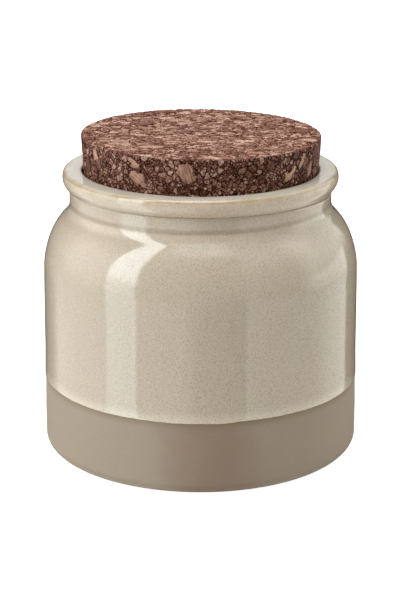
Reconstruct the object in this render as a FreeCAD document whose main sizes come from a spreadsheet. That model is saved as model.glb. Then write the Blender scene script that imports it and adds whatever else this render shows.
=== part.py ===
"""Lidded storage jar: a glazed stoneware jar closed by a tapered cork stopper.

The jar is one fired piece: a drafted wall on a softly rounded foot, bare clay below the
glaze line, a full shoulder that turns through a hollow neck into a rolled rim, and a
cavity that keeps one wall thickness all the way up to the mouth. The stopper is a plain
cone of agglomerated cork that drops into the mouth and stands proud of the rim.

Millimetres, +Z up. The origin is the centre of the circle the jar stands on.
"""
import FreeCAD, Part

import math
import os

import Sketcher

SIZES = {
    # body of the jar, whose wall draws in a little from the foot up to the shoulder
    "jar_height": 93.5,
    "body_radius": 51.6,
    "wall_draft": 0.8,
    "shoulder_arc": 24.3,
    "base_rounding": 4.0,
    # glaze: where it ends above the bare foot, and how far it stands off the clay
    "glaze_line_height": 24.3,
    "glaze_thickness": 0.25,
    # neck and rolled rim, parted by a crease that undercuts the rim
    "neck_height": 3.6,
    "neck_arc": 7.5,
    "crease_depth": 0.8,
    "crease_rounding": 0.2,
    "rim_overhang": 2.2,
    "rim_arc": 4.4,
    "rim_bulge_drop": 2.4,
    "rim_corner_rounding": 0.9,
    # inside and underside
    "mouth_radius": 38.45,
    "lip_rounding": 0.9,
    "wall": 4.35,
    "floor_thickness": 6.0,
    "floor_rounding": 9.0,
    "standing_ring": 7.2,
    "recess_depth": 1.2,
    "recess_rounding": 0.5,
    # cork stopper
    "seat_gap": 0.25,
    "lid_height": 22.0,
    "lid_proud": 11.4,
    "lid_taper": 3.9,
    "lid_edge_rounding": 0.6,
    "lid_shift": 0.12,
    "lid_lean": 0.6,
}

doc = FreeCAD.newDocument("lidded_storage_jar")

sheet = doc.addObject("Spreadsheet::Sheet", "dims")
for row, (alias, value) in enumerate(SIZES.items(), start=1):
    sheet.set(f"A{row}", alias)
    sheet.set(f"B{row}", str(value))
    sheet.setAlias(f"B{row}", alias)
doc.recompute()


def size(alias):
    """One driving dimension, as the sheet holds it."""
    return float(sheet.get(alias))


# ---- sketch helpers ----

def new_body(label):
    body = doc.addObject("PartDesign::Body", label)
    body.Label = label
    return body


def new_sketch(body, name, plane_role):
    """A sketch on one of the body's own origin planes."""
    sketch = body.newObject("Sketcher::SketchObject", name)
    plane = next(item for item in body.Origin.OriginFeatures if item.Role == plane_role)
    sketch.AttachmentSupport = (plane, [""])
    sketch.MapMode = "FlatFace"
    return sketch


def add_line(sketch, start, end):
    return sketch.addGeometry(Part.LineSegment(FreeCAD.Vector(*start), FreeCAD.Vector(*end)))


def add_arc(sketch, centre, radius, first_angle, last_angle):
    """An arc that runs counterclockwise between two angles in radians."""
    circle = Part.Circle(FreeCAD.Vector(*centre), FreeCAD.Vector(0, 0, 1), radius)
    return sketch.addGeometry(Part.ArcOfCircle(circle, first_angle, last_angle))


def join(sketch, first, first_end, second, second_end):
    sketch.addConstraint(Sketcher.Constraint("Coincident", first, first_end, second, second_end))


def blend(sketch, first, first_end, second, second_end):
    """Joins two ends so that the outline runs smoothly through them."""
    sketch.addConstraint(Sketcher.Constraint("Tangent", first, first_end, second, second_end))


def bind(sketch, constraint, formula):
    index = sketch.addConstraint(constraint)
    sketch.setExpression(f"Constraints[{index}]", formula)


def place_radius(sketch, piece, end, formula):
    """Holds a point's distance from the jar's axis to a formula of the sheet."""
    here = sketch.getPoint(piece, end).x
    bind(sketch, Sketcher.Constraint("DistanceX", ORIGIN, START, piece, end, here), formula)


def place_height(sketch, piece, end, formula):
    """Holds a point's height above the table to a formula of the sheet."""
    here = sketch.getPoint(piece, end).y
    bind(sketch, Sketcher.Constraint("DistanceY", ORIGIN, START, piece, end, here), formula)


def read_out_radius(sketch, piece, end, name):
    """Names a radius that the outline leads to, so that other sketches can follow it."""
    here = sketch.getPoint(piece, end).x
    index = sketch.addConstraint(Sketcher.Constraint("DistanceX", ORIGIN, START, piece, end, here))
    sketch.setDriving(index, False)
    sketch.renameConstraint(index, name)


def hold_arc_radius(sketch, arc, formula):
    radius = sketch.Geometry[arc].Radius
    bind(sketch, Sketcher.Constraint("Radius", arc, radius), formula)


def level(sketch, line):
    sketch.addConstraint(Sketcher.Constraint("Horizontal", line))


def upright(sketch, line):
    sketch.addConstraint(Sketcher.Constraint("Vertical", line))


def on_axis(sketch, piece, end):
    sketch.addConstraint(Sketcher.Constraint("PointOnObject", piece, end, VERTICAL_AXIS))


def rings(feature, height):
    """Names of the circular edges at one height, from the smallest to the largest."""
    found = []
    for number, edge in enumerate(feature.Shape.Edges, start=1):
        is_circle = isinstance(edge.Curve, Part.Circle)
        if is_circle and abs(edge.Curve.Center.z - height) < HEIGHT_TOLERANCE:
            found.append((edge.Curve.Radius, f"Edge{number}"))
    return [name for _, name in sorted(found)]


def round_off(body, name, edges, radius_alias):
    """Rounds edges of the body's present tip with a radius from the sheet."""
    tip = body.Tip
    fillet = body.newObject("PartDesign::Fillet", name)
    fillet.Base = (tip, edges)
    fillet.Radius = size(radius_alias)
    fillet.setExpression("Radius", f"dims.{radius_alias}")
    doc.recompute()
    return fillet


START, END, CENTRE = 1, 2, 3
ORIGIN, VERTICAL_AXIS = -1, -2
HEIGHT_TOLERANCE = 0.001
QUARTER = math.pi / 2

# ---- places that several outlines share, worked out from the sheet ----

NECK_RADIUS = size("mouth_radius") + size("wall")
RIM_RADIUS = NECK_RADIUS + size("rim_overhang")
RIM_CENTRE = (RIM_RADIUS - size("rim_arc"), size("jar_height") - size("rim_bulge_drop"))
CREASE_RADIUS = NECK_RADIUS - size("crease_depth")
RIM_HALF_CHORD = math.sqrt(size("rim_arc") ** 2 - (CREASE_RADIUS - RIM_CENTRE[0]) ** 2)
CREASE_HEIGHT = RIM_CENTRE[1] - RIM_HALF_CHORD
NECK_CENTRE = (NECK_RADIUS + size("neck_arc"), CREASE_HEIGHT - size("neck_height"))
SHOULDER_CENTRE_RADIUS = size("body_radius") - size("shoulder_arc")
ARC_REACH = size("shoulder_arc") + size("neck_arc")
ARC_RISE = math.sqrt(ARC_REACH ** 2 - (NECK_CENTRE[0] - SHOULDER_CENTRE_RADIUS) ** 2)
SHOULDER_CENTRE = (SHOULDER_CENTRE_RADIUS, NECK_CENTRE[1] - ARC_RISE)
TURN = math.atan2(ARC_RISE, NECK_CENTRE[0] - SHOULDER_CENTRE[0])
DRAFT = math.radians(size("wall_draft"))

NECK_FORMULA = "dims.mouth_radius + dims.wall"
RIM_CENTRE_FORMULA = f"{NECK_FORMULA} + dims.rim_overhang - dims.rim_arc"


# ---- the jar ----

def draw_outside(body):
    """Half section of the outside, from the foot up to the top of the rim."""
    sketch = new_sketch(body, "outside_profile", "XZ_Plane")
    line_height = size("glaze_line_height")
    glaze = size("glaze_thickness")
    height = size("jar_height")
    shoulder_start = (
        SHOULDER_CENTRE[0] + size("shoulder_arc") * math.cos(DRAFT),
        SHOULDER_CENTRE[1] + size("shoulder_arc") * math.sin(DRAFT),
    )
    glazed_low = shoulder_start[0] + (shoulder_start[1] - line_height - glaze) * math.tan(DRAFT)
    line_radius = glazed_low - glaze
    foot = line_radius + line_height * math.tan(DRAFT)
    rim_top_angle = math.asin(size("rim_bulge_drop") / size("rim_arc"))
    rim_low_angle = math.atan2(-RIM_HALF_CHORD, CREASE_RADIUS - RIM_CENTRE[0])
    rim_top_radius = RIM_CENTRE[0] + size("rim_arc") * math.cos(rim_top_angle)

    base = add_line(sketch, (0, 0), (foot, 0))
    bare_wall = add_line(sketch, (foot, 0), (line_radius, line_height))
    glaze_edge = add_arc(sketch, (line_radius, line_height + glaze), glaze, -QUARTER, 0)
    glazed_wall = add_line(sketch, (line_radius + glaze, line_height + glaze), shoulder_start)
    shoulder = add_arc(sketch, SHOULDER_CENTRE, size("shoulder_arc"), DRAFT, TURN)
    neck_curve = add_arc(sketch, NECK_CENTRE, size("neck_arc"), math.pi, math.pi + TURN)
    neck = add_line(sketch, (NECK_RADIUS, NECK_CENTRE[1]), (NECK_RADIUS, CREASE_HEIGHT))
    ledge = add_line(sketch, (NECK_RADIUS, CREASE_HEIGHT), (CREASE_RADIUS, CREASE_HEIGHT))
    rim = add_arc(sketch, RIM_CENTRE, size("rim_arc"), rim_low_angle, rim_top_angle)
    top = add_line(sketch, (rim_top_radius, height), (0, height))
    axis = add_line(sketch, (0, height), (0, 0))

    join(sketch, base, START, ORIGIN, START)
    join(sketch, base, END, bare_wall, START)
    join(sketch, bare_wall, END, glaze_edge, START)
    join(sketch, glaze_edge, END, glazed_wall, START)
    blend(sketch, glazed_wall, END, shoulder, START)
    blend(sketch, shoulder, END, neck_curve, END)
    blend(sketch, neck_curve, START, neck, START)
    join(sketch, neck, END, ledge, START)
    join(sketch, ledge, END, rim, START)
    join(sketch, rim, END, top, START)
    join(sketch, top, END, axis, START)
    join(sketch, axis, END, base, START)
    level(sketch, base)
    level(sketch, top)
    upright(sketch, neck)
    level(sketch, ledge)
    upright(sketch, axis)

    sketch.addConstraint(Sketcher.Constraint("Parallel", bare_wall, glazed_wall))
    sketch.addConstraint(Sketcher.Constraint("Vertical", bare_wall, END, glaze_edge, CENTRE))
    sketch.addConstraint(Sketcher.Constraint("Horizontal", glaze_edge, CENTRE, glaze_edge, END))

    bind(sketch, Sketcher.Constraint("Angle", bare_wall, QUARTER + DRAFT), "90 + dims.wall_draft")
    place_height(sketch, bare_wall, END, "dims.glaze_line_height")
    hold_arc_radius(sketch, glaze_edge, "dims.glaze_thickness")
    place_radius(sketch, shoulder, CENTRE, "dims.body_radius - dims.shoulder_arc")
    hold_arc_radius(sketch, shoulder, "dims.shoulder_arc")
    hold_arc_radius(sketch, neck_curve, "dims.neck_arc")
    place_radius(sketch, neck, END, NECK_FORMULA)
    length = CREASE_HEIGHT - NECK_CENTRE[1]
    bind(sketch, Sketcher.Constraint("DistanceY", neck, START, neck, END, length), "dims.neck_height")
    depth = size("crease_depth")
    bind(sketch, Sketcher.Constraint("DistanceX", ledge, END, ledge, START, depth), "dims.crease_depth")
    place_radius(sketch, rim, CENTRE, RIM_CENTRE_FORMULA)
    place_height(sketch, rim, CENTRE, "dims.jar_height - dims.rim_bulge_drop")
    hold_arc_radius(sketch, rim, "dims.rim_arc")
    place_height(sketch, axis, START, "dims.jar_height")
    read_out_radius(sketch, base, END, "foot_radius")
    return sketch


def draw_cavity(body):
    """Half section of the inside: the outside's curves, one wall thickness further in."""
    sketch = new_sketch(body, "cavity_profile", "XZ_Plane")
    floor = size("floor_thickness")
    inside = size("body_radius") - size("wall")
    mouth = size("mouth_radius")
    height = size("jar_height")
    shoulder_radius = size("shoulder_arc") - size("wall")
    neck_radius = size("neck_arc") + size("wall")

    bottom = add_line(sketch, (0, floor), (inside, floor))
    wall = add_line(sketch, (inside, floor), (inside, SHOULDER_CENTRE[1]))
    shoulder = add_arc(sketch, SHOULDER_CENTRE, shoulder_radius, 0, TURN)
    neck_curve = add_arc(sketch, NECK_CENTRE, neck_radius, math.pi, math.pi + TURN)
    bore = add_line(sketch, (mouth, NECK_CENTRE[1]), (mouth, height))
    opening = add_line(sketch, (mouth, height), (0, height))
    axis = add_line(sketch, (0, height), (0, floor))

    join(sketch, bottom, END, wall, START)
    blend(sketch, wall, END, shoulder, START)
    blend(sketch, shoulder, END, neck_curve, END)
    blend(sketch, neck_curve, START, bore, START)
    join(sketch, bore, END, opening, START)
    join(sketch, opening, END, axis, START)
    join(sketch, axis, END, bottom, START)
    level(sketch, bottom)
    level(sketch, opening)
    upright(sketch, wall)
    upright(sketch, bore)
    upright(sketch, axis)
    on_axis(sketch, bottom, START)

    place_height(sketch, bottom, START, "dims.floor_thickness")
    place_radius(sketch, bottom, END, "dims.body_radius - dims.wall")
    hold_arc_radius(sketch, shoulder, "dims.shoulder_arc - dims.wall")
    hold_arc_radius(sketch, neck_curve, "dims.neck_arc + dims.wall")
    place_radius(sketch, bore, END, "dims.mouth_radius")
    place_height(sketch, bore, END, "dims.jar_height")
    reach = "(dims.rim_arc - dims.rim_overhang - dims.crease_depth)"
    half_chord = f"sqrt(dims.rim_arc ^ 2 - {reach} ^ 2)"
    crease = f"dims.jar_height - dims.rim_bulge_drop - {half_chord}"
    place_height(sketch, bore, START, f"{crease} - dims.neck_height")
    return sketch


def make_jar():
    """The fired stoneware jar, revolved, hollowed out, recessed below and softened."""
    body = new_body("jar")

    outside = draw_outside(body)
    turned = body.newObject("PartDesign::Revolution", "turned_outside")
    turned.Profile = outside
    turned.ReferenceAxis = (outside, ["V_Axis"])
    turned.Angle = 360
    doc.recompute()

    cavity = draw_cavity(body)
    hollow = body.newObject("PartDesign::Groove", "hollowed_inside")
    hollow.Profile = cavity
    hollow.ReferenceAxis = (cavity, ["V_Axis"])
    hollow.Angle = 360
    doc.recompute()

    underside = new_sketch(body, "recess_outline", "XY_Plane")
    flat_radius = outside.getDatum("foot_radius").Value - size("base_rounding")
    recess_radius = flat_radius - size("standing_ring")
    up = FreeCAD.Vector(0, 0, 1)
    circle = underside.addGeometry(Part.Circle(FreeCAD.Vector(0, 0, 0), up, recess_radius))
    join(underside, circle, CENTRE, ORIGIN, START)
    inset = "(dims.base_rounding + dims.standing_ring) * 1 mm"
    hold_arc_radius(underside, circle, f"outside_profile.Constraints.foot_radius - {inset}")
    recess = body.newObject("PartDesign::Pocket", "base_recess")
    recess.Profile = underside
    recess.Reversed = True
    recess.Length = size("recess_depth")
    recess.setExpression("Length", "dims.recess_depth")
    doc.recompute()

    round_off(body, "rounded_foot", rings(body.Tip, 0)[-1:], "base_rounding")
    round_off(body, "rounded_floor", rings(body.Tip, size("floor_thickness"))[-1:], "floor_rounding")
    recess_edges = rings(body.Tip, 0)[:1] + rings(body.Tip, size("recess_depth"))
    round_off(body, "softened_recess", recess_edges, "recess_rounding")
    round_off(body, "softened_crease", rings(body.Tip, CREASE_HEIGHT)[-1:], "crease_rounding")
    round_off(body, "softened_rim", rings(body.Tip, size("jar_height"))[-1:], "rim_corner_rounding")
    round_off(body, "rounded_lip", rings(body.Tip, size("jar_height"))[:1], "lip_rounding")
    return body


# ---- the stopper ----

def make_lid():
    """The cork stopper: a cone that clears the mouth by the seat gap at the rim's height."""
    body = new_body("cork_lid")
    slope = "tan(dims.lid_taper)"
    at_rim = "dims.mouth_radius - dims.seat_gap"
    plug = body.newObject("PartDesign::AdditiveCone", "tapered_plug")
    plug.setExpression("Height", "dims.lid_height")
    plug.setExpression("Radius1", f"{at_rim} - (dims.lid_height - dims.lid_proud) * {slope}")
    plug.setExpression("Radius2", f"{at_rim} + dims.lid_proud * {slope}")
    doc.recompute()
    ends = rings(plug, 0) + rings(plug, size("lid_height"))
    round_off(body, "softened_edges", ends, "lid_edge_rounding")

    # it sits a touch askew in the mouth, as a stopper pushed in by hand does
    body.Placement = FreeCAD.Placement(FreeCAD.Vector(), FreeCAD.Rotation(FreeCAD.Vector(0, 1, 0), 1))
    body.setExpression("Placement.Rotation.Angle", "dims.lid_lean")
    depth = "(dims.lid_height - dims.lid_proud)"
    body.setExpression("Placement.Base.x", f"dims.lid_shift - {depth} * sin(dims.lid_lean)")
    body.setExpression("Placement.Base.z", f"dims.jar_height - {depth} * cos(dims.lid_lean)")
    doc.recompute()
    return body


# ---- build, check and write ----

parts = [make_jar(), make_lid()]
doc.recompute()

for item in doc.Objects:
    if {"Invalid", "Error"} & set(item.State):
        raise RuntimeError(f"{item.Label} failed: {item.State}")
for body in parts:
    if body.Shape.isNull() or not body.Shape.isValid() or len(body.Shape.Solids) != 1:
        raise RuntimeError(f"{body.Label} is not one valid solid")

os.makedirs("parts", exist_ok=True)
for body in parts:
    body.Shape.exportStep(os.path.join("parts", f"{body.Label}.step"))
    box = body.Shape.BoundBox
    print(body.Label, "volume", round(body.Shape.Volume), "top", round(box.ZMax, 2), "width", round(box.XLength, 2))
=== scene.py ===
"""Looks of the lidded storage jar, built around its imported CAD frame.

The jar is one turned stoneware piece: glossy speckled glaze over a bare clay foot. Its
stopper is agglomerated cork, with granules in relief and a few large chips set into it.
Metres, +Z up, the camera on the -Y side.
"""
import math
import random

import bpy
import numpy as np
from mathutils import Matrix, Vector, noise


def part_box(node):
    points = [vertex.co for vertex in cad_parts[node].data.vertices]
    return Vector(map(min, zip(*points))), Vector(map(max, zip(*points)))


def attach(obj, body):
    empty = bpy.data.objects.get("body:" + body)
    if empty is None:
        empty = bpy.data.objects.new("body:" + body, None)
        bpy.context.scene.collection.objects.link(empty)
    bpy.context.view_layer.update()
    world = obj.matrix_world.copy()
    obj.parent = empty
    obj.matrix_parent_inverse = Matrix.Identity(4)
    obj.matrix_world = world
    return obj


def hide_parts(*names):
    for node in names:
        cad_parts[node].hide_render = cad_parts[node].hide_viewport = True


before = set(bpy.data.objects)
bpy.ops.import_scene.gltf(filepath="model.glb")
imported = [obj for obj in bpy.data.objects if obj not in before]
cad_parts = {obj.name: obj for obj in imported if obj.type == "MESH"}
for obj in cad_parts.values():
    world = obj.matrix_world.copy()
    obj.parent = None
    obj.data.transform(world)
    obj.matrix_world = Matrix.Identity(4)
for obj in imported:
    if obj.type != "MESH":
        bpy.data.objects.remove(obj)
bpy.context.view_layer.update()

MM = 0.001

# ---- sizes: the ones that the frame was built from, unless a comment says otherwise ----

JAR_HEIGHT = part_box("jar")[1].z
BODY_RADIUS = 51.6 * MM
WALL_DRAFT = math.radians(0.8)
SHOULDER_ARC = 24.3 * MM
FOOT_ROUNDING = 4.0 * MM
GLAZE_LINE = 24.3 * MM
GLAZE_THICKNESS = 0.25 * MM
NECK_HEIGHT = 3.6 * MM
NECK_ARC = 7.5 * MM
CREASE_DEPTH = 0.8 * MM
RIM_OVERHANG = 2.2 * MM
RIM_ARC = 4.4 * MM
RIM_DROP = 2.4 * MM
MOUTH_RADIUS = 38.45 * MM
LIP_ROUNDING = 0.9 * MM
WALL = 4.35 * MM
FLOOR_THICKNESS = 6.0 * MM
FLOOR_ROUNDING = 9.0 * MM
STANDING_RING = 7.2 * MM
RECESS_DEPTH = 1.2 * MM
RECESS_ROUNDING = 0.5 * MM

LID_HEIGHT = 22.0 * MM
LID_PROUD = 11.4 * MM
LID_TAPER = math.radians(3.9)
LID_EDGE = 0.6 * MM
LID_GAP = 0.25 * MM
LID_SHIFT = 0.12 * MM
LID_LEAN = math.radians(0.6)

NECK_RADIUS = MOUTH_RADIUS + WALL
RIM_CENTRE = (NECK_RADIUS + RIM_OVERHANG - RIM_ARC, JAR_HEIGHT - RIM_DROP)
CREASE_REACH = NECK_RADIUS - CREASE_DEPTH - RIM_CENTRE[0]
CREASE_HEIGHT = RIM_CENTRE[1] - math.sqrt(RIM_ARC ** 2 - CREASE_REACH ** 2)
NECK_CENTRE = (NECK_RADIUS + NECK_ARC, CREASE_HEIGHT - NECK_HEIGHT)
SHOULDER_AXIS = BODY_RADIUS - SHOULDER_ARC
SHOULDER_RISE = math.sqrt((SHOULDER_ARC + NECK_ARC) ** 2 - (NECK_CENTRE[0] - SHOULDER_AXIS) ** 2)
SHOULDER_CENTRE = (SHOULDER_AXIS, NECK_CENTRE[1] - SHOULDER_RISE)
TURN = math.atan2(SHOULDER_RISE, NECK_CENTRE[0] - SHOULDER_AXIS)

# The fold that the glaze shows between neck and shoulder, a little tighter than the plain arc.
FOLD_ARC = 6.0 * MM
FOLD_RISE = math.sqrt((SHOULDER_ARC + FOLD_ARC) ** 2 - (NECK_RADIUS + FOLD_ARC - SHOULDER_AXIS) ** 2)
FOLD_CENTRE = (NECK_RADIUS + FOLD_ARC, SHOULDER_CENTRE[1] + FOLD_RISE)
FOLD_TURN = math.atan2(FOLD_RISE, FOLD_CENTRE[0] - SHOULDER_AXIS)

# The glaze rounds the rim's upper corner off more than the solid has it.
RIM_CORNER = 1.5 * MM

WALL_SLOPE = math.tan(WALL_DRAFT)
SHOULDER_START = (
    SHOULDER_CENTRE[0] + SHOULDER_ARC * math.cos(WALL_DRAFT),
    SHOULDER_CENTRE[1] + SHOULDER_ARC * math.sin(WALL_DRAFT),
)
# Where the glaze's straight wall ends below, and how far out the clay lies beneath it.
GLAZE_LOW = GLAZE_LINE + GLAZE_THICKNESS
GLAZE_RADIUS = SHOULDER_START[0] + (SHOULDER_START[1] - GLAZE_LOW) * WALL_SLOPE
CLAY_RADIUS = GLAZE_RADIUS - GLAZE_THICKNESS

QUARTER = math.pi / 2


# ---- outlines ----

def line(start, end, steps):
    """Points from start up to, but without, end."""
    return [tuple(np.array(start) + (np.array(end) - start) * i / steps) for i in range(steps)]


def arc(centre, radius, first, last, steps):
    """Points on an arc from the first angle up to, but without, the last."""
    angles = [first + (last - first) * i / steps for i in range(steps)]
    return [(centre[0] + radius * math.cos(a), centre[1] + radius * math.sin(a)) for a in angles]


def undercut(angle):
    """The crease under the rim at an angle around the axis, +X being 0.

    On the right it is a sharp notch below a straight slope, elsewhere a soft shallow line.
    Returns its depth, how far down the neck it reaches and how straight the slope above runs:
    1 for straight, 0 for the plain arc, less for a flatter one.
    """
    right = max(0.0, math.cos(angle))
    left = max(0.0, -math.cos(angle))
    front = max(0.0, -math.sin(angle))
    depth = (0.2 + 0.9 * right ** 6) * MM
    reach = (0.8 - 0.6 * right ** 2 - 0.4 * front ** 2) * MM
    straight = max(right ** 3, 0.3 * left) - 2.2 * front ** 2
    return depth, reach, straight


def under_rim(depth, straight):
    """Points up the underside of the rim, from the crease to where its arc turns outward."""
    steps = 8
    outer = RIM_CENTRE[0] + RIM_ARC * math.cos(QUARTER / 2)
    points = []
    for i in range(steps):
        radius = NECK_RADIUS - depth + (outer - NECK_RADIUS + depth) * i / steps
        curved = math.sqrt(RIM_ARC ** 2 - (radius - RIM_CENTRE[0]) ** 2)
        sloped = RIM_ARC * math.sin(QUARTER / 2) + outer - radius
        points.append((radius, RIM_CENTRE[1] - curved - (sloped - curved) * straight))
    return points


def neck_top(crease, depth, reach):
    """Points up the neck's last stretch, where it draws in to the crease."""
    steps = 7
    points = []
    for i in range(steps):
        share = 1 - i / steps
        drawn_in = depth * (1 - share * share * (3 - 2 * share))
        points.append((NECK_RADIUS - drawn_in, crease[1] - reach * share))
    return points


def underside_outline():
    """Points from the middle of the underside, over the standing ring, up the bare foot."""
    foot_radius = CLAY_RADIUS + GLAZE_LINE * WALL_SLOPE
    foot_inset = FOOT_ROUNDING * (1 + math.sin(WALL_DRAFT)) / math.cos(WALL_DRAFT)
    foot_centre = (foot_radius - foot_inset, FOOT_ROUNDING)
    foot_end = (
        foot_centre[0] + FOOT_ROUNDING * math.cos(WALL_DRAFT),
        foot_centre[1] + FOOT_ROUNDING * math.sin(WALL_DRAFT),
    )
    recess = foot_radius - FOOT_ROUNDING - STANDING_RING
    small = RECESS_ROUNDING
    points = (
        line((0, RECESS_DEPTH), (recess - small, RECESS_DEPTH), 4)
        + arc((recess - small, RECESS_DEPTH - small), small, QUARTER, 0, 3)
        + arc((recess + small, small), small, math.pi, 3 * QUARTER, 3)
        + line((recess + small, 0), (foot_centre[0], 0), 2)
        + arc(foot_centre, FOOT_ROUNDING, -QUARTER, WALL_DRAFT, 9)
        + line(foot_end, (CLAY_RADIUS, GLAZE_LINE), 9)
    )
    # One more ring close under the glaze keeps the clay's shading straight up to it.
    return points + line(points[-1], (CLAY_RADIUS, GLAZE_LINE), 8)[-1:]


def outside_outline(angle):
    """Points from the glaze's lower edge to the flat top of the rim, and the crease's height."""
    depth, reach, straight = undercut(angle)
    rim_underside = under_rim(depth, straight)
    neck_end = neck_top(rim_underside[0], depth, reach)
    corner_reach = RIM_ARC - RIM_CORNER
    corner_centre = (
        RIM_CENTRE[0] + math.sqrt(corner_reach ** 2 - (RIM_DROP - RIM_CORNER) ** 2),
        JAR_HEIGHT - RIM_CORNER,
    )
    corner_angle = math.atan2(RIM_DROP - RIM_CORNER, corner_centre[0] - RIM_CENTRE[0])
    points = (
        arc((CLAY_RADIUS, GLAZE_LOW), GLAZE_THICKNESS, -QUARTER, 0, 5)
        + line((GLAZE_RADIUS, GLAZE_LOW), SHOULDER_START, 15)
        + arc(SHOULDER_CENTRE, SHOULDER_ARC, WALL_DRAFT, FOLD_TURN, 20)
        + arc(FOLD_CENTRE, FOLD_ARC, math.pi + FOLD_TURN, math.pi, 11)
        + line((NECK_RADIUS, FOLD_CENTRE[1]), neck_end[0], 4)
        + neck_end
        + rim_underside
        + arc(RIM_CENTRE, RIM_ARC, -QUARTER / 2, corner_angle, 14)
        + arc(corner_centre, RIM_CORNER, corner_angle, QUARTER, 6)
        + line((corner_centre[0], JAR_HEIGHT), (MOUTH_RADIUS + LIP_ROUNDING, JAR_HEIGHT), 3)
    )
    return points, rim_underside[0][1]


def inside_outline():
    """Points from the lip down the inside of the wall to the middle of the floor."""
    lip_centre = (MOUTH_RADIUS + LIP_ROUNDING, JAR_HEIGHT - LIP_ROUNDING)
    inside_radius = BODY_RADIUS - WALL
    floor_centre = (inside_radius - FLOOR_ROUNDING, FLOOR_THICKNESS + FLOOR_ROUNDING)
    return (
        arc(lip_centre, LIP_ROUNDING, QUARTER, math.pi, 6)
        + line((MOUTH_RADIUS, lip_centre[1]), (MOUTH_RADIUS, NECK_CENTRE[1]), 3)
        + arc(NECK_CENTRE, NECK_ARC + WALL, math.pi, math.pi + TURN, 6)
        + arc(SHOULDER_CENTRE, SHOULDER_ARC - WALL, TURN, 0, 8)
        + line((inside_radius, SHOULDER_CENTRE[1]), (inside_radius, floor_centre[1]), 3)
        + arc(floor_centre, FLOOR_ROUNDING, 0, -QUARTER, 6)
        + line((floor_centre[0], FLOOR_THICKNESS), (0, FLOOR_THICKNESS), 4)
        + [(0, FLOOR_THICKNESS)]
    )


def jar_outline(angle):
    """Half section of the jar from the middle of its underside to the middle of its floor.

    Returns the points, the number of the point where the glaze begins and how high the
    crease under the rim lies.
    """
    underside = underside_outline()
    outside, crease_height = outside_outline(angle)
    return underside + outside + inside_outline(), len(underside), crease_height


# ---- meshes ----

def mesh_object(name, points, faces):
    mesh = bpy.data.meshes.new(name)
    mesh.from_pydata(points, [], faces)
    mesh.shade_smooth()
    thing = bpy.data.objects.new(name, mesh)
    bpy.context.scene.collection.objects.link(thing)
    return thing


def waves(angle, height, scale, seed):
    """Smooth noise on a turned surface, between about -1 and 1, that closes on itself."""
    turn = Vector((math.cos(angle) * BODY_RADIUS, math.sin(angle) * BODY_RADIUS, height))
    return noise.noise(turn / scale + Vector((seed, 0, 0)))


def glaze_edge_height(angle):
    """How far the lower edge of the glaze strays from its line, with one slow drip in front."""
    drift = 0.16 * MM * waves(angle, 0, 16 * MM, 11)
    bumps = 0.10 * MM * waves(angle, 0, 2.2 * MM, 12) + 0.06 * MM * waves(angle, 0, 1.0 * MM, 13)
    from_drip = (angle + math.radians(82)) / math.radians(5)
    drip = -0.3 * MM * math.exp(-from_drip ** 2)
    step = 0.2 * MM * math.tanh(from_drip) * math.exp(-(from_drip / 5) ** 2)
    return drift + bumps + drip + step


# Where the thrower's hand left the wall out or in: height, half width and amount in mm.
SWELLS = ((14, 8, 0.12), (34, 6, -0.08), (56, 8, 0.05), (68, 4, -0.1), (75, 4, 0.1))


def swell(height):
    """How far out of its plain slope the wall lies at a height."""
    offset = 0
    for centre, spread, amount in SWELLS:
        offset += amount * MM * math.exp(-((height / MM - centre) / spread) ** 2)
    return offset


def shoulder_lift(angle, height):
    """How far the shoulder was pushed up against the neck, most of all in front."""
    front = -math.sin(angle)
    lift = (0.2 + 0.27 * (front + math.sqrt(front * front + 0.03))) * MM
    # In mm from where the push was strongest; it fades sooner above than below.
    away = height / MM - 80.5
    spread = 3.2 if away > 0 else 8.0
    return lift * math.exp(-(away / spread) ** 2)


def fold_height(angle):
    """Middle of the band of painted shade in the neck's fold, a little higher on the right."""
    return FOLD_CENTRE[1] - 0.3 * MM + 0.8 * MM * max(0.0, math.cos(angle)) ** 1.5


# The visual wall lies this far inside the solid's, so that its waves stay within the box.
WALL_INSET = 0.05 * MM


def hand_worked(angle, radius, height, stray):
    """Radius and height of a point of the outside, as even as fired stoneware is: not quite."""
    near_line = max(0.0, 1 - abs(height - GLAZE_LINE) / (6 * MM))
    height = height + stray * near_line + shoulder_lift(angle, height)
    wave = 0.02 * MM * waves(angle, height, 14 * MM, 3) - WALL_INSET
    return radius + wave + swell(height), height


JAR_SEGMENTS = 576
# What a point inside or under the jar has for line_distance, off_fold and off_crease.
NOT_OUTSIDE = (-1.0, 1.0, 1.0)


def jar_faces(ring_count, glaze_start):
    """Quads between the rings and a fan over each end, and 0 for clay or 1 for glaze on each."""
    count = JAR_SEGMENTS
    pairs = [(i, (i + 1) % count) for i in range(count)]
    faces = [(0, 1 + j, 1 + i) for i, j in pairs]
    for ring in range(ring_count - 1):
        low = 1 + ring * count
        high = low + count
        faces += [(low + i, low + j, high + j, high + i) for i, j in pairs]
    last = 1 + (ring_count - 1) * count
    faces += [(last + i, last + j, last + count) for i, j in pairs]
    bare = count * glaze_start
    return faces, [0] * bare + [1] * (len(faces) - bare)


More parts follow.
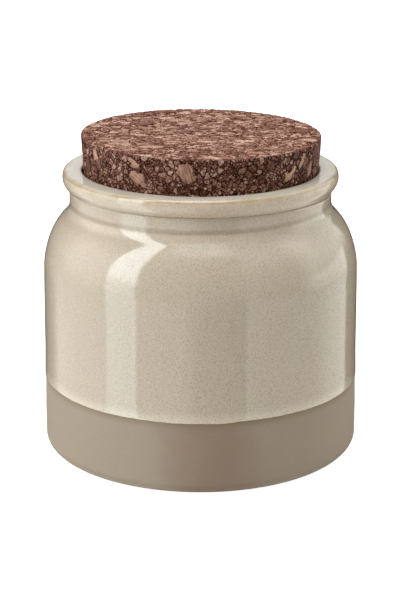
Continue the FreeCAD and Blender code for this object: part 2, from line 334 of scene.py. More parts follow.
def make_jar():
    """The whole jar as one turned mesh, which also stores where its glaze changes colour."""
    outline, glaze_start, _ = jar_outline(0)
    angles = [2 * math.pi * i / JAR_SEGMENTS - math.pi for i in range(JAR_SEGMENTS)]
    strays = [glaze_edge_height(a) for a in angles]
    sections = [jar_outline(a) for a in angles]
    rings = outline[1:-1]
    outer_last = max(range(len(rings)), key=lambda i: rings[i][1])
    points = [(0, 0, outline[0][1])]
    measures = [NOT_OUTSIDE]
    for number, ring in enumerate(rings):
        is_outside = number <= outer_last and ring[1] > FOOT_ROUNDING
        for angle, stray, (section, _, crease_height) in zip(angles, strays, sections):
            radius, height = section[number + 1]
            measure = NOT_OUTSIDE
            if is_outside:
                off_fold = height - fold_height(angle)
                off_crease = height - crease_height
                radius, height = hand_worked(angle, radius, height, stray)
                measure = (height - GLAZE_LINE - stray, off_fold, off_crease)
            points.append((radius * math.cos(angle), radius * math.sin(angle), height))
            measures.append(measure)
    points.append((0, 0, outline[-1][1]))
    measures.append(NOT_OUTSIDE)

    faces, materials = jar_faces(len(rings), glaze_start)
    jar = mesh_object("stoneware_jar", points, faces)
    jar.data.polygons.foreach_set("material_index", materials)
    for name, values in zip(("line_distance", "off_fold", "off_crease"), zip(*measures)):
        jar.data.attributes.new(name, "FLOAT", "POINT").data.foreach_set("value", values)
    return jar


LID_CELLS = 200


def disc_point(column, row, radius):
    """A square grid bent into a disc whose cells stay nearly even in size."""
    u = 2 * column / LID_CELLS - 1
    v = 2 * row / LID_CELLS - 1
    if u == 0 and v == 0:
        return (0.0, 0.0)
    if abs(u) > abs(v):
        reach, angle = u, (math.pi / 4) * (v / u)
    else:
        reach, angle = v, QUARTER - (math.pi / 4) * (u / v)
    return (radius * reach * math.cos(angle), radius * reach * math.sin(angle))


def lid_placement():
    """Where the stopper's own base circle lies: it leans a little and sits a touch to the side."""
    depth = LID_HEIGHT - LID_PROUD
    base = Vector((
        LID_SHIFT - depth * math.sin(LID_LEAN),
        0,
        JAR_HEIGHT - depth * math.cos(LID_LEAN),
    ))
    return Matrix.Translation(base) @ Matrix.Rotation(LID_LEAN, 4, "Y")


def lid_radius(height):
    """Radius of the plain cone at a height above the stopper's base."""
    return MOUTH_RADIUS - LID_GAP + (height - (LID_HEIGHT - LID_PROUD)) * math.tan(LID_TAPER)


def lid_outline():
    """Side of the stopper from the edge of its top down to its base."""
    top_angle = -LID_TAPER
    steep = 1 / math.cos(LID_TAPER)
    upper_centre = (lid_radius(LID_HEIGHT) - LID_EDGE * (steep + math.tan(LID_TAPER)), LID_HEIGHT - LID_EDGE)
    lower_centre = (lid_radius(0) - LID_EDGE * (steep - math.tan(LID_TAPER)), LID_EDGE)
    upper_end = (
        upper_centre[0] + LID_EDGE * math.cos(top_angle),
        upper_centre[1] + LID_EDGE * math.sin(top_angle),
    )
    lower_start = (
        lower_centre[0] + LID_EDGE * math.cos(top_angle),
        lower_centre[1] + LID_EDGE * math.sin(top_angle),
    )
    # A little below the mouth's edge the stopper is out of sight, and coarser rings do.
    hidden_from = LID_HEIGHT - LID_PROUD - 1.5 * MM
    split = (lid_radius(hidden_from), hidden_from)
    return (
        arc(upper_centre, LID_EDGE, QUARTER, top_angle, 3)
        + line(upper_end, split, 34)
        + line(split, lower_start, 6)
        + arc(lower_centre, LID_EDGE, top_angle, -QUARTER, 3)
        + [(lower_centre[0], 0.0)]
    )


def close_underside(points, faces, edge):
    """Fills a ring, given by its points' numbers, with ever coarser rings and a last flat face."""
    most_corners = 40
    shrink = 0.72
    while len(edge) > most_corners:
        inner = []
        for number in edge[::2]:
            x, y, z = points[number]
            inner.append(len(points))
            points.append((x * shrink, y * shrink, z))
        for i in range(len(inner)):
            j = (i + 1) % len(inner)
            last = edge[(2 * i + 2) % len(edge)]
            faces.append((edge[2 * i], inner[i], edge[2 * i + 1]))
            faces.append((edge[2 * i + 1], inner[i], inner[j], last))
        edge = inner
    faces.append(tuple(edge))


def make_lid():
    """The cork stopper: an even grid on top, a fine skirt in sight and a plain underside."""
    outline = lid_outline()
    flat_radius = outline[0][0]
    size = LID_CELLS + 1
    points = []
    for row in range(size):
        for column in range(size):
            x, y = disc_point(column, row, flat_radius)
            points.append((x, y, LID_HEIGHT))
    faces = []
    for row in range(LID_CELLS):
        for column in range(LID_CELLS):
            corner = row * size + column
            faces.append((corner, corner + 1, corner + size + 1, corner + size))

    edge = (
        list(range(LID_CELLS))
        + [row * size + LID_CELLS for row in range(LID_CELLS)]
        + [LID_CELLS * size + column for column in range(LID_CELLS, 0, -1)]
        + [row * size for row in range(LID_CELLS, 0, -1)]
    )
    for radius, height in outline[1:]:
        ring = []
        for number in edge:
            x, y, _ = points[number]
            stretch = radius / math.hypot(x, y)
            ring.append(len(points))
            points.append((x * stretch, y * stretch, height))
        for i in range(len(ring)):
            j = (i + 1) % len(ring)
            faces.append((edge[i], ring[i], ring[j], edge[j]))
        edge = ring
    close_underside(points, faces, edge)

    lid = mesh_object("cork_stopper", points, faces)
    cut = lid.data.attributes.new("cut_face", "FLOAT", "POINT")
    cut.data.foreach_set("value", [1.0 if i < size * size else 0.0 for i in range(len(points))])
    lid.data.transform(lid_placement())
    return lid


# Large chips of bark pressed into the side: turn around the axis from the front in degrees,
# height above the stopper's base, half length and half width in mm, lean in degrees and tone.
SIDE_CHIPS = (
    (-31.0, 14.9, 2.7, 1.75, -32.0, 0.55),
    (-31.6, 18.9, 1.35, 1.1, -35.0, 0.62),
    (-6.8, 17.6, 3.5, 2.3, 106.0, 0.36),
    (46.6, 14.8, 2.9, 1.0, 40.0, 1.0),
    (54.8, 18.0, 2.6, 0.75, 62.0, 0.75),
    (63.4, 14.4, 2.8, 1.1, 78.0, 0.5),
    (-59.0, 18.9, 1.9, 1.2, -60.0, 0.8),
    (-83.0, 17.0, 1.6, 1.1, 20.0, 0.5),
    (88.0, 17.5, 2.2, 1.2, 50.0, 0.5),
)
# Chips laid open by the cut across the top: place and half sizes in mm, lean and tone.
TOP_CHIPS = (
    (-15.6, -20.9, 4.2, 1.3, 3.0, 0.9),
    (3.1, -35.2, 2.4, 1.2, -4.0, 1.15),
    (-8.9, -13.4, 2.4, 1.1, 8.0, 0.75),
    (7.8, -0.7, 2.6, 1.2, -6.0, 0.7),
    (-2.9, -5.6, 1.9, 0.9, 2.0, 0.6),
)
# Chips strewn by chance round the back of the side, and smaller ones over the top.
BACK_CHIPS = 11
SMALL_TOP_CHIPS = 26
SEED = 7

CHIP_SPOKES = 36
CHIP_HOOPS = 9


def all_chips(dice):
    """The face that each chip lies on, with its place, half sizes, lean and tone."""
    chips = [("side", *chip) for chip in SIDE_CHIPS] + [("top", *chip) for chip in TOP_CHIPS]
    for _ in range(BACK_CHIPS):
        spot = (dice.uniform(100, 260), dice.uniform(12.5, 19), dice.uniform(1.4, 3.2))
        chips.append(("side", *spot, dice.uniform(0.8, 1.6), dice.uniform(0, 180), dice.uniform(0.3, 0.9)))
    for _ in range(SMALL_TOP_CHIPS):
        turn, reach = dice.uniform(0, 2 * math.pi), 34 * math.sqrt(dice.random())
        spot = (reach * math.cos(turn), reach * math.sin(turn), dice.uniform(1.1, 2.6))
        chips.append(("top", *spot, dice.uniform(0.45, 0.95), dice.gauss(0, 14), dice.uniform(0.3, 0.9)))
    return chips


def chip_outline(angle, lumps):
    """A rounded rectangle of half size 1 by 1, knocked about by a few lumps."""
    side = (abs(math.cos(angle)) ** 3.2 + abs(math.sin(angle)) ** 3.2) ** (-1 / 3.2)
    return side * (1 + sum(size * math.cos(turns * angle + start) for turns, size, start in lumps))


def on_stopper(face, first, second, right, up, rise):
    """The point this far right, up and out from a chip's middle, on the face that it lies on."""
    if face == "top":
        return (first * MM + right, second * MM + up, LID_HEIGHT + rise)
    highest = LID_HEIGHT - 0.4 * MM
    height = min(second * MM + up, highest)
    radius = lid_radius(height) + rise
    turn = math.radians(first) + right / lid_radius(height) - QUARTER
    return (radius * math.cos(turn), radius * math.sin(turn), height)


def make_chips():
    """Large chips as thin cushions set into the stopper, their rims sunk below its surface."""
    dice = random.Random(SEED)
    points, faces, grain, tones = [], [], [], []
    for face, first, second, length, width, lean, tone in all_chips(dice):
        lumps = [(turns, dice.uniform(0.04, 0.11), dice.uniform(0, 6.3)) for turns in (2, 3, 5, 7)]
        tilt = math.radians(lean)
        start = len(points)
        for hoop in range(CHIP_HOOPS + 1):
            share = hoop / CHIP_HOOPS
            rise = (0.07 - 0.3 * share ** 7) * MM
            for spoke in range(CHIP_SPOKES if hoop else 1):
                angle = 2 * math.pi * spoke / CHIP_SPOKES
                reach = share * chip_outline(angle, lumps)
                along, across = reach * length * math.cos(angle), reach * width * math.sin(angle)
                right = (along * math.cos(tilt) - across * math.sin(tilt)) * MM
                up = (along * math.sin(tilt) + across * math.cos(tilt)) * MM
                points.append(on_stopper(face, first, second, right, up, rise))
                # The third number keeps the grain of one chip apart from that of the next.
                grain.extend((along, across, 10.0 * len(tones)))
        tones.append(tone)
        for spoke in range(CHIP_SPOKES):
            after = (spoke + 1) % CHIP_SPOKES
            faces.append((start, start + 1 + spoke, start + 1 + after))
            for hoop in range(CHIP_HOOPS - 1):
                low = start + 1 + hoop * CHIP_SPOKES
                high = low + CHIP_SPOKES
                faces.append((low + spoke, high + spoke, high + after, low + after))

    chips = mesh_object("cork_chips", points, faces)
    way = chips.data.attributes.new("grain_way", "FLOAT_VECTOR", "POINT")
    way.data.foreach_set("vector", grain)
    per_chip = 1 + CHIP_SPOKES * CHIP_HOOPS
    tone = chips.data.attributes.new("chip_tone", "FLOAT", "POINT")
    tone.data.foreach_set("value", [tones[i // per_chip] for i in range(len(points))])
    chips.data.transform(lid_placement())
    return chips


# ---- node helpers ----

class Nodes:
    """A node tree, with short calls for the nodes that the looks are made of."""

    def __init__(self, tree):
        self.tree = tree
        tree.nodes.clear()

    def add(self, kind, inputs=(), **settings):
        """A new node with its settings, and with what its inputs are fed by number or name."""
        node = self.tree.nodes.new(kind)
        for name, value in settings.items():
            setattr(node, name, value)
        for name, value in dict(inputs).items():
            self.feed(node.inputs[name], value)
        return node

    def feed(self, socket, value):
        """Links an input to a socket or to a node's first output, or sets it to a plain value."""
        if isinstance(value, bpy.types.NodeSocket):
            self.tree.links.new(value, socket)
        elif isinstance(value, bpy.types.Node):
            self.tree.links.new(value.outputs[0], socket)
        else:
            socket.default_value = value

    def math(self, operation, first, second=0.0, third=0.0, clamp=False):
        node = self.add("ShaderNodeMath", {0: first, 1: second, 2: third}, operation=operation)
        node.use_clamp = clamp
        return node.outputs[0]

    def vector(self, operation, first, second=(0, 0, 0)):
        return self.add("ShaderNodeVectorMath", {0: first, 1: second}, operation=operation).outputs[0]

    def ramp(self, value, low, high, start=0.0, end=1.0):
        """start below low, end above high, and a smooth step between them."""
        node = self.add(
            "ShaderNodeMapRange",
            {"Value": value, "From Min": low, "From Max": high, "To Min": start, "To Max": end},
            interpolation_type="SMOOTHSTEP",
        )
        return node.outputs[0]

    def line(self, value, low, high, start=0.0, end=1.0):
        """start below low, end above high, and a straight ramp between them."""
        node = self.add(
            "ShaderNodeMapRange",
            {"Value": value, "From Min": low, "From Max": high, "To Min": start, "To Max": end},
        )
        return node.outputs[0]

    def mix(self, factor, first, second):
        """A mix of two numbers."""
        return self.add("ShaderNodeMix", {0: factor, 2: first, 3: second}).outputs[0]

    def mix_places(self, factor, first, second):
        """A mix of two vectors."""
        node = self.add("ShaderNodeMix", {0: factor, 4: first, 5: second}, data_type="VECTOR")
        return node.outputs[1]

    def blend(self, factor, first, second):
        """A mix of two colours."""
        node = self.add("ShaderNodeMix", {0: factor, 6: first, 7: second}, data_type="RGBA")
        return node.outputs[2]

    def tint(self, colour, factor):
        """A colour, or a vector, with all its parts multiplied by a number."""
        factors = self.add("ShaderNodeCombineXYZ", {0: factor, 1: factor, 2: factor})
        return self.vector("MULTIPLY", colour, factors)

    def parts(self, vector):
        """The three numbers of a vector or a colour."""
        return self.add("ShaderNodeSeparateXYZ", {0: vector}).outputs

    def length(self, vector):
        return self.add("ShaderNodeVectorMath", {0: vector}, operation="LENGTH").outputs["Value"]

    def attribute(self, name, output="Fac"):
        """A value that the mesh stores for each of its points."""
        return self.add("ShaderNodeAttribute", attribute_name=name).outputs[output]

    def noise(self, place, size, detail=2.0, roughness=0.5):
        return self.add(
            "ShaderNodeTexNoise",
            {"Vector": place, "Scale": 1 / size, "Detail": detail, "Roughness": roughness},
        )

    def cells(self, place, size, feature="F1"):
        return self.add("ShaderNodeTexVoronoi", {"Vector": place, "Scale": 1 / size}, feature=feature)

    def bump(self, relief):
        """The surface's normal, bent by a relief in millimetres."""
        return self.add("ShaderNodeBump", {"Strength": 1.0, "Distance": MM, "Height": relief})


def colour(red, green, blue):
    return (red, green, blue, 1.0)


def new_material(name):
    material = bpy.data.materials.new(name)
    material.use_nodes = True
    nodes = Nodes(material.node_tree)
    shader = nodes.add("ShaderNodeBsdfPrincipled")
    output = nodes.add("ShaderNodeOutputMaterial")
    nodes.feed(output.inputs["Surface"], shader)
    place = nodes.add("ShaderNodeTexCoord").outputs["Object"]
    return material, nodes, shader, place


# ---- materials ----

def specks(nodes, place, size, inner, outer, share):
    """Small round dots scattered through the glaze, each 1 in its middle and 0 around it."""
    cell = nodes.cells(place, size)
    dot = nodes.ramp(cell.outputs["Distance"], inner, outer, 1, 0)
    kept = nodes.math("LESS_THAN", nodes.parts(cell.outputs["Color"])[0], share)
    return nodes.math("MULTIPLY", dot, kept)


def all_specks(nodes, place, sideways):
    """How much of the specks' dark a point has; they stand out less towards the left."""
    common = specks(nodes, place, 0.8 * MM, 0.10, 0.27, 0.5)
    fine = specks(nodes, place, 0.48 * MM, 0.12, 0.42, 0.85)
    coarse = specks(nodes, place, 2.6 * MM, 0.05, 0.09, 0.3)
    dark = nodes.math("MAXIMUM", nodes.math("MULTIPLY", common, 0.50), nodes.math("MULTIPLY", fine, 0.52))
    dark = nodes.math("MAXIMUM", dark, nodes.math("MULTIPLY", coarse, 0.55))
    return nodes.math("MULTIPLY", dark, nodes.ramp(sideways, -38 * MM, 2 * MM, 0.55, 1.0))


def plain_glaze(nodes, place, grain):
    """Warm grey with a slow mottle and a fine grain, paler where it pools above its lower edge."""
    warm = colour(0.532, 0.430, 0.338)
    cool = colour(0.521, 0.441, 0.339)
    mottle = nodes.noise(place, 17 * MM).outputs["Fac"]
    body = nodes.blend(nodes.ramp(mottle, 0.35, 0.65), warm, cool)
    body = nodes.tint(body, nodes.line(grain, 0.3, 0.7, 0.91, 1.09))
    pooled = nodes.ramp(nodes.attribute("line_distance"), 0.2 * MM, 4.2 * MM, 1, 0)
    return nodes.blend(nodes.math("MULTIPLY", pooled, 0.7), body, colour(0.72, 0.63, 0.50))


def glaze_light_and_shade_bands(nodes, body, sideways):
    """Painted light: paler below the fold, on the neck and on the rim. Painted shade: darker in the fold,
    and in the crease, where the glaze also pools darker.
    """
    off_fold = nodes.attribute("off_fold")
    off_crease = nodes.attribute("off_crease")
    # Painted light on the neck, on the rim's bead and just below the fold.
    neck_light = nodes.ramp(off_fold, 0.3 * MM, 1.4 * MM, 0, 0.09)
    bead_light = nodes.ramp(off_crease, 0.3 * MM, 1.8 * MM, 0, 0.09)
    below_fold_light = nodes.math("MULTIPLY",
        nodes.ramp(off_fold, -1.3 * MM, -0.6 * MM, 0.15, 0),
        nodes.ramp(off_fold, -4.0 * MM, -2.2 * MM, 0, 1))
    painted_light = nodes.math("ADD", nodes.math("ADD", neck_light, bead_light), below_fold_light)
    body = nodes.tint(body, nodes.math("ADD", painted_light, 1.0))
    # Painted shade in the neck's fold.
    fold_shade = nodes.math("MULTIPLY",
        nodes.ramp(off_fold, 0.0, 1.7 * MM, 1, 0),
        nodes.ramp(off_fold, -1.4 * MM, 0.1 * MM, 0, 1))
    fold_shade = nodes.math("MULTIPLY", fold_shade, nodes.ramp(sideways, 18 * MM, 42 * MM, 1.15, 0.4))
    body = nodes.blend(fold_shade, body, nodes.vector("MULTIPLY", body, (0.86, 0.81, 0.78)))
    # Painted shade in the crease under the rim, together with the darker glaze pooled there.
    crease_pool_and_shade = nodes.math("MULTIPLY",
        nodes.ramp(nodes.math("ABSOLUTE", off_crease), 0.1 * MM, 0.6 * MM, 1, 0),
        nodes.ramp(nodes.math("ABSOLUTE", sideways), 14 * MM, 25 * MM, 1.1, 0.2))
    return nodes.blend(crease_pool_and_shade, body, nodes.vector("MULTIPLY", body, (0.86, 0.82, 0.75)))


def worn_glaze(nodes, body, place):
    """Greyer on the rim's flat top; thin and ochre along its edge, and in patches below that."""
    across, away, height = nodes.parts(place)
    radius = nodes.length(nodes.add("ShaderNodeCombineXYZ", {0: across, 1: away}))
    on_top = nodes.math("MULTIPLY",
        nodes.ramp(height, JAR_HEIGHT - 0.5 * MM, JAR_HEIGHT - 0.1 * MM),
        nodes.ramp(radius, MOUTH_RADIUS + 0.2 * MM, MOUTH_RADIUS + 1.0 * MM))
    body = nodes.blend(nodes.math("MULTIPLY", on_top, 0.75), body, colour(0.57, 0.52, 0.455))

    # Radius and height of the middle of the rim's rounded edge.
    edge = (44.5 * MM, JAR_HEIGHT - 0.75 * MM)
    off_edge = nodes.length(nodes.add("ShaderNodeCombineXYZ", {
        0: nodes.math("SUBTRACT", radius, edge[0]),
        1: nodes.math("SUBTRACT", height, edge[1]),
    }))
    breakup = nodes.noise(place, 5 * MM, 3.0, 0.6).outputs["Fac"]
    worn = nodes.math("MULTIPLY",
        nodes.ramp(off_edge, 0.1 * MM, 0.75 * MM, 1, 0),
        nodes.ramp(breakup, 0.3, 0.6, 0.5, 1))
    bead = nodes.math("MULTIPLY",
        nodes.ramp(off_edge, 0.5 * MM, 3.2 * MM, 1, 0),
        nodes.ramp(breakup, 0.4, 0.7, 0.05, 0.5))
    thin = nodes.math("MAXIMUM", worn, bead)
    return nodes.blend(nodes.math("MULTIPLY", thin, 0.75), body, colour(0.40, 0.27, 0.12))


def glaze_material():
    """Glossy speckled glaze over the whole jar but its foot."""
    material, nodes, shader, place = new_material("speckled_glaze")
    sideways = nodes.parts(place)[0]
    grain = nodes.noise(place, 0.55 * MM, 2.0, 0.7).outputs["Fac"]
    dark = all_specks(nodes, place, sideways)
    body = plain_glaze(nodes, place, grain)
    body = glaze_light_and_shade_bands(nodes, body, sideways)
    body = worn_glaze(nodes, body, place)
    nodes.feed(shader.inputs["Base Color"], nodes.blend(dark, body, colour(0.17, 0.105, 0.065)))

    smear = nodes.noise(place, 3 * MM).outputs["Fac"]
    nodes.feed(shader.inputs["Roughness"], nodes.line(smear, 0.3, 0.7, 0.07, 0.10))
    peel = nodes.noise(place, 5.5 * MM, 1.0).outputs["Fac"]
    pits = nodes.math("MULTIPLY", dark, -0.004)
    relief = nodes.math("ADD", nodes.math("MULTIPLY", peel, 0.045), pits)
    relief = nodes.math("ADD", relief, nodes.math("MULTIPLY", grain, 0.0035))
    nodes.feed(shader.inputs["Normal"], nodes.bump(relief))
    shader.inputs["IOR"].default_value = 1.6
    return material


def clay_material():
    """Bare fired clay: matte taupe with a fine sandy grain, stained and darkened by painted shade where the
    glaze stops, and painted lighter at its lowest edge.
    """
    material, nodes, shader, place = new_material("bare_clay")
    across, away, height = nodes.parts(place)
    warm = colour(0.350, 0.276, 0.206)
    cool = colour(0.342, 0.277, 0.211)
    patch = nodes.noise(place, 12 * MM, 3.0).outputs["Fac"]
    body = nodes.blend(nodes.ramp(patch, 0.3, 0.7), warm, cool)

    # Redder and darker in front, a little right of the middle.
    sideways = nodes.math("ADD", across, nodes.line(patch, 0.3, 0.7, -3 * MM, 3 * MM))
    off_redder_front = nodes.math("ABSOLUTE", nodes.math("SUBTRACT", sideways, 4 * MM))
    in_front = nodes.ramp(away, -25 * MM, -40 * MM)
    redder_front = nodes.math("MULTIPLY", nodes.ramp(off_redder_front, 2 * MM, 22 * MM, 1, 0), in_front)
    body = nodes.blend(redder_front, body, nodes.vector("MULTIPLY", body, (0.80, 0.70, 0.67)))

    grain = nodes.noise(place, 0.5 * MM, 3.0, 0.75).outputs["Fac"]
    body = nodes.tint(body, nodes.line(grain, 0.3, 0.7, 0.93, 1.07))
    # Under the glaze's edge the clay is stained, and darkened further by painted shade beneath the glaze's
    # overhang.
    stain_and_shade = nodes.ramp(nodes.attribute("line_distance"), -2.8 * MM, -0.1 * MM, 0, 0.5)
    body = nodes.blend(stain_and_shade, body, colour(0.22, 0.155, 0.08))
    # Painted light: the clay is lighter towards its lowest edge, where the foot's rounding catches light
    # from the floor.
    painted_floor_light = nodes.ramp(height, 0.6 * MM, 3.0 * MM, 1.34, 1.0)
    nodes.feed(shader.inputs["Base Color"], nodes.tint(body, painted_floor_light))
    nodes.feed(shader.inputs["Roughness"], nodes.line(grain, 0.3, 0.7, 0.72, 0.86))
    nodes.feed(shader.inputs["Normal"], nodes.bump(nodes.math("MULTIPLY", grain, 0.05)))
    shader.inputs["IOR"].default_value = 1.45
    return material


# Cork granules: their size, how far in mm they stay back from their cell's walls, and the
# share of cells that hold one, first on the stopper's side and then on its cut top.
SMALL_GRANULES = (1.05 * MM, 0.0, 1.0, 1.0)
LARGER_GRANULES = (
    (2.0 * MM, 0.12, 0.5, 0.5),
    (3.6 * MM, 0.3, 0.1, 0.28),
)


def granules(nodes, place, cut):
    """Crushed cork in three sizes, pressed together.

    Where cut is 1 the granules are drawn out sideways, as on the sawn top. Returns sockets:
    how deep a point lies in a crevice (0 to 1), and the granule's tone and lot (0 to 1 each,
    the same all over a granule).
    """
    drawn_out = nodes.vector("MULTIPLY", place, (0.55, 0.9, 1.0))
    place = nodes.mix_places(cut, place, drawn_out)
    sway = nodes.noise(place, 1.3 * MM).outputs["Color"]
    shift = nodes.vector("SUBTRACT", sway, (0.5, 0.5, 0.5))
    bent = nodes.vector("ADD", place, nodes.vector("MULTIPLY", shift, (0.9 * MM, 0.9 * MM, 0.9 * MM)))

    def layer(size, margin, share, share_cut):
        """How far inside a granule a point lies in mm, its tone and lot, and 1 where there is one."""
        chance, tone, lot = nodes.parts(nodes.cells(bent, size).outputs["Color"])
        inward = nodes.cells(bent, size, "DISTANCE_TO_EDGE").outputs["Distance"]
        inward = nodes.math("SUBTRACT", nodes.math("MULTIPLY", inward, size / MM), margin)
        kept = nodes.math("LESS_THAN", chance, nodes.line(cut, 0, 1, share, share_cut))
        return inward, tone, lot, kept

    inward, tone, lot, _ = layer(*SMALL_GRANULES)
    crevice = nodes.ramp(inward, 0.0, 0.17, 1, 0)
    for sort in LARGER_GRANULES:
        inward, own_tone, own_lot, kept = layer(*sort)
        inside = nodes.math("MULTIPLY", nodes.math("GREATER_THAN", inward, 0.0), kept)
        near = nodes.math("MULTIPLY", nodes.math("GREATER_THAN", inward, -0.08), kept)
        solid = nodes.math("MULTIPLY", inside, nodes.ramp(inward, 0, 0.2))
        crevice = nodes.mix(near, crevice, nodes.math("SUBTRACT", near, solid))
        tone = nodes.mix(inside, tone, own_tone)
        lot = nodes.mix(inside, lot, own_lot)
    return crevice, tone, lot


# Colours from the dark seams through red-brown granules to pale broken bark; the seams are dark binder with
# painted shade in them.
CORK_COLOURS = (
    (0.0, (0.020, 0.003, 0.002)),
    (0.25, (0.078, 0.020, 0.010)),
    (0.5, (0.185, 0.074, 0.048)),
    (0.75, (0.34, 0.182, 0.130)),
    (1.0, (0.66, 0.48, 0.39)),
)


def cork_colour(nodes, level):
    """The colour of cork at a level from 0, darkest, to 1."""
    ramp = nodes.add("ShaderNodeValToRGB", {0: level})
    points = ramp.color_ramp.elements
    while len(points) < len(CORK_COLOURS):
        points.new(0.5)
    for point, (position, shade) in zip(points, CORK_COLOURS):
        point.position = position
        point.color = colour(*shade)
    return ramp.outputs[0]


def cork_material():
    """Agglomerated cork: red-brown granules, dark seams of binder and painted shade, fine pits and pale
    glints.
    """
    material, nodes, shader, place = new_material("agglomerated_cork")
    cut = nodes.attribute("cut_face")
    crevice, tone, lot = granules(nodes, place, cut)
    grain_way = nodes.add("ShaderNodeVectorRotate", {
        "Vector": place,
        "Axis": (0.3, 0.5, 0.81),
        "Angle": nodes.math("MULTIPLY", lot, 2 * math.pi),
    }, rotation_type="AXIS_ANGLE")
    stretched = nodes.vector("MULTIPLY", grain_way.outputs[0], (1.0, 4.0, 1.0))
    streak = nodes.noise(stretched, 1.1 * MM, 3.0, 0.7).outputs["Fac"]
    drawn_out = nodes.vector("MULTIPLY", place, (0.35, 1.0, 1.0))
    fine_place = nodes.mix_places(cut, place, drawn_out)
    fine = nodes.noise(fine_place, 0.36 * MM, 3.0, 0.7).outputs["Fac"]
    level = nodes.line(tone, 0, 1, 0.24, 0.80)
    level = nodes.math("ADD", level, nodes.line(streak, 0.3, 0.7, -0.18, 0.18))
    level = nodes.math("ADD", level, nodes.line(fine, 0.28, 0.72, -0.37, 0.37))
    # The seams between granules and round the large granules' rims are darkened: dark binder, and painted
    # shade in the crevices.
    seam_binder_and_shade = nodes.math("MULTIPLY", crevice, nodes.line(cut, 0, 1, 0.60, 0.44))
    level = nodes.math("SUBTRACT", level, seam_binder_and_shade, clamp=True)
    glint = nodes.ramp(nodes.noise(fine_place, 0.5 * MM, 1.0).outputs["Fac"], 0.66, 0.74)
    level = nodes.math("ADD", level, nodes.math("MULTIPLY", glint, nodes.line(cut, 0, 1, 0.28, 0.45)))
    # The sawn top is made lighter: partly its paler cut cork, partly painted light from above.
    level = nodes.math("ADD", level, nodes.line(cut, 0, 1, 0.0, 0.07), clamp=True)
    paler_and_lit_top = nodes.line(cut, 0, 1, 1.0, 1.3)
    nodes.feed(shader.inputs["Base Color"], nodes.tint(cork_colour(nodes, level), paler_and_lit_top))
    nodes.feed(shader.inputs["Roughness"], nodes.line(crevice, 0, 1, 0.55, 0.9))
    nodes.feed(shader.inputs["Specular IOR Level"], nodes.line(crevice, 0, 1, 0.25, 0.03))
    relief = nodes.math("ADD", nodes.math("MULTIPLY", streak, 0.10), nodes.math("MULTIPLY", fine, 0.10))
    nodes.feed(shader.inputs["Normal"], nodes.bump(relief))
    shader.inputs["IOR"].default_value = 1.45
    return material


def chip_material():
    """Whole pieces of bark in the cork: pinkish tan, striped along their length."""
    material, nodes, shader, place = new_material("bark_chips")
    tone = nodes.attribute("chip_tone")
    stripes = nodes.vector("MULTIPLY", nodes.attribute("grain_way", "Vector"), (0.22, 1.5, 1.0))
    stripe_size = 0.9  # in mm, as grain_way is
    stripe = nodes.noise(stripes, stripe_size, 3.0, 0.65).outputs["Fac"]
    fine = nodes.noise(place, 0.36 * MM, 3.0, 0.7).outputs["Fac"]
    level = nodes.line(stripe, 0.32, 0.68, -0.42, 0.42)
    level = nodes.math("ADD", level, nodes.line(fine, 0.3, 0.7, -0.22, 0.22))
    level = nodes.math("ADD", level, tone, clamp=True)
    body = nodes.blend(level, colour(0.12, 0.044, 0.028), colour(0.58, 0.34, 0.235))
    nodes.feed(shader.inputs["Base Color"], body)
    shader.inputs["Roughness"].default_value = 0.6
    shader.inputs["Specular IOR Level"].default_value = 0.25
    relief = nodes.math("ADD", nodes.math("MULTIPLY", stripe, 0.12), nodes.math("MULTIPLY", fine, 0.08))
    nodes.feed(shader.inputs["Normal"], nodes.bump(relief))
    return material


def sink_crevices(thing, deepest):
    """Presses the seams between granules into the mesh, with the pattern that colours them."""
    group = bpy.data.node_groups.new("granule_relief", "GeometryNodeTree")
    nodes = Nodes(group)
    group.interface.new_socket("Geometry", in_out="INPUT", socket_type="NodeSocketGeometry")
    group.interface.new_socket("Geometry", in_out="OUTPUT", socket_type="NodeSocketGeometry")
    shape = nodes.add("NodeGroupInput").outputs[0]
    place = nodes.add("GeometryNodeInputPosition").outputs[0]
    cut = nodes.add("GeometryNodeInputNamedAttribute", {"Name": "cut_face"}, data_type="FLOAT").outputs[0]
    crevice, _, lot = granules(nodes, place, cut)
    uneven = nodes.math("MULTIPLY", lot, 0.3 * deepest)
    depth = nodes.math("ADD", nodes.math("MULTIPLY", crevice, deepest), uneven)
    normal = nodes.add("GeometryNodeInputNormal").outputs[0]
    offset = nodes.tint(normal, nodes.math("MULTIPLY", depth, -1))
    moved = nodes.add("GeometryNodeSetPosition", {"Geometry": shape, "Offset": offset})
    output = nodes.add("NodeGroupOutput")
    nodes.feed(output.inputs[0], moved)
    modifier = thing.modifiers.new("relief", "NODES")
    modifier.node_group = group
    depsgraph = bpy.context.evaluated_depsgraph_get()
    shaped = bpy.data.meshes.new_from_object(thing.evaluated_get(depsgraph))
    thing.modifiers.clear()
    thing.data = shaped
    return thing


# ---- studio: floor, light by direction, camera ----

def make_floor():
    """A plain white floor that keeps only the faint contact shadow of the jar."""
    half = 3.0
    corners = [(-half, -half, 0), (half, -half, 0), (half, half, 0), (-half, half, 0)]
    floor = mesh_object("floor", corners, [(0, 1, 2, 3)])
    material = bpy.data.materials.new("floor_white")
    material.use_nodes = True
    nodes = Nodes(material.node_tree)
    seen = nodes.add("ShaderNodeLightPath").outputs["Is Camera Ray"]
    matte = nodes.add("ShaderNodeBsdfDiffuse", {"Color": colour(0.75, 0.75, 0.74)})
    strength = nodes.math("MULTIPLY", seen, 0.93)
    glow = nodes.add("ShaderNodeEmission", {"Color": colour(1, 1, 1), "Strength": strength})
    both = nodes.add("ShaderNodeAddShader", {0: matte, 1: glow})
    output = nodes.add("ShaderNodeOutputMaterial")
    nodes.feed(output.inputs["Surface"], both)
    floor.data.materials.append(material)
    floor.visible_glossy = False


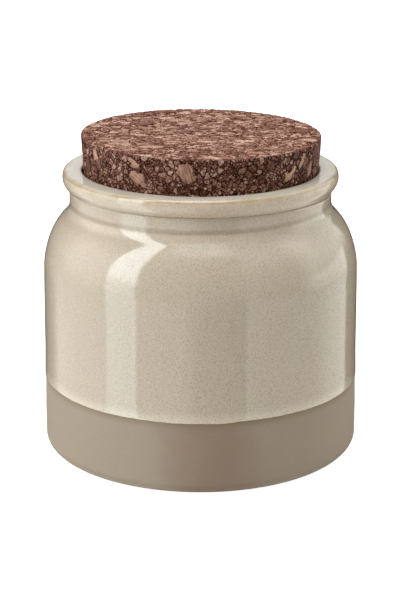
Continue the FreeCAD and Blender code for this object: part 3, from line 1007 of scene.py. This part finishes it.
# Softboxes and white boards as the jar sees them: azimuth from the front towards +X and
# elevation, in degrees, how soft their two sides and their ends are, colour and strength.
PANELS = (
    ("key_strip", (-71.5, -47), (10, 80), (1.0, 1.0), 6.0, (0.93, 1.0, 1.03), 6.2),
    ("key_strip_foot", (-71.5, -47), (-60, 10), (1.0, 1.0), 6.0, (0.9, 1.0, 0.99), 2.9),
    ("left_glow", (-118, -71), (-6, 36), (14.0, 14.0), 14.0, (1.0, 0.99, 0.97), 1.5),
    ("left_board", (-137, -71.5), (-45, 62), (2.0, 2.0), 2.0, (0.97, 1.0, 0.97), 0.25),
    ("left_floor", (-130, -71.5), (-60, -13), (6.0, 2.0), 9.0, (1.0, 0.99, 0.96), 1.1),
    ("front_floor", (-47, -6), (-60, -5), (8.0, 8.0), 5.0, (1.0, 0.96, 0.92), 0.85),
    ("right_floor", (33, 132), (-60, -8), (1.0, 1.5), 5.0, (0.97, 1.0, 0.95), 1.0),
    ("right_board", (33, 100), (-8, 76), (1.0, 12.0), 5.0, (0.97, 1.0, 0.95), 0.4),
    ("right_side_low", (85, 133), (-8, 3), (14.0, 1.5), 3.0, (0.97, 1.0, 0.95), 1.7),
    ("right_side_foot", (98, 133), (-45, -8), (10.0, 1.5), 5.0, (0.97, 1.0, 0.95), 0.45),
    ("right_side", (85, 145), (3, 48), (14.0, 1.5), 9.0, (0.97, 1.0, 0.95), 1.6),
    ("right_box", (40, 115), (28, 62), (6.0, 12.0), 10.0, (1.0, 1.0, 1.0), 0.4),
    ("front_box", (-38, 37), (54, 74), (8.0, 8.0), 6.0, (1.0, 0.99, 0.96), 1.9),
    ("top_box", (-181, 181), (74, 91), (1.0, 1.0), 3.0, (1.0, 0.99, 0.96), 4.5),
    ("back_left", (-181, -165), (8, 40), (4.0, 1.0), 6.0, (1.0, 1.0, 1.0), 0.9),
    ("back_right", (165, 181), (8, 40), (4.0, 1.0), 6.0, (1.0, 1.0, 1.0), 0.9),
)


def light_studio():
    """Plain soft light: the world shines by direction, and is white where the camera sees it."""
    world = bpy.data.worlds.new("studio")
    bpy.context.scene.world = world
    world.use_nodes = True
    nodes = Nodes(world.node_tree)
    way = nodes.add("ShaderNodeTexCoord").outputs["Generated"]
    right, back, up = nodes.parts(way)
    to_front = nodes.math("MULTIPLY", back, -1)
    azimuth = nodes.math("DEGREES", nodes.math("ARCTAN2", right, to_front))
    elevation = nodes.math("DEGREES", nodes.math("ARCSINE", up))

    def band(value, span, soft_low, soft_high):
        """1 between the two ends of span and 0 outside, with a soft step at either end."""
        low, high = span
        rise = nodes.ramp(value, low - soft_low, low + soft_low, 0, 1)
        fall = nodes.ramp(value, high - soft_high, high + soft_high, 1, 0)
        return nodes.math("MULTIPLY", rise, fall)

    total = nodes.add("ShaderNodeCombineXYZ").outputs[0]
    for _, sideways, upward, soft_sides, soft_ends, shade, strength in PANELS:
        across = band(azimuth, sideways, *soft_sides)
        share = nodes.math("MULTIPLY", across, band(elevation, upward, soft_ends, soft_ends))
        lit = nodes.tint(shade, nodes.math("MULTIPLY", share, strength))
        total = nodes.vector("ADD", total, lit)
    seen = nodes.add("ShaderNodeLightPath").outputs["Is Camera Ray"]
    shown = nodes.blend(seen, total, colour(1, 1, 1))
    background = nodes.add("ShaderNodeBackground", {"Color": shown, "Strength": 1.0})
    output = nodes.add("ShaderNodeOutputWorld")
    nodes.feed(output.inputs["Surface"], background)


# The camera stands in front of the jar and looks down on it; its lens is in mm.
CAMERA_DISTANCE = 578.66 * MM
CAMERA_HEIGHT = 231.35 * MM
CAMERA_PITCH = math.radians(17.59)
CAMERA_LENS = 109.22


def make_camera():
    data = bpy.data.cameras.new("camera")
    data.lens = CAMERA_LENS
    data.sensor_width = 36.0
    camera = bpy.data.objects.new("camera", data)
    camera.location = (0, -CAMERA_DISTANCE, CAMERA_HEIGHT)
    camera.rotation_euler = (QUARTER - CAMERA_PITCH, 0, 0)
    bpy.context.scene.collection.objects.link(camera)
    bpy.context.scene.camera = camera
    bpy.context.scene.view_settings.view_transform = "Standard"


def dress(thing, node, slot, *materials):
    """Gives a piece its materials and lets it stand for its CAD node."""
    for material in materials:
        thing.data.materials.append(material)
    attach(thing, "root")
    if node:
        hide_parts(node)


jar = make_jar()
dress(jar, "jar", "glazed_stoneware", clay_material(), glaze_material())

lid = sink_crevices(make_lid(), 0.25 * MM)
dress(lid, "cork_lid", "cork", cork_material())
dress(make_chips(), None, "cork", chip_material())

make_floor()
light_studio()
make_camera()
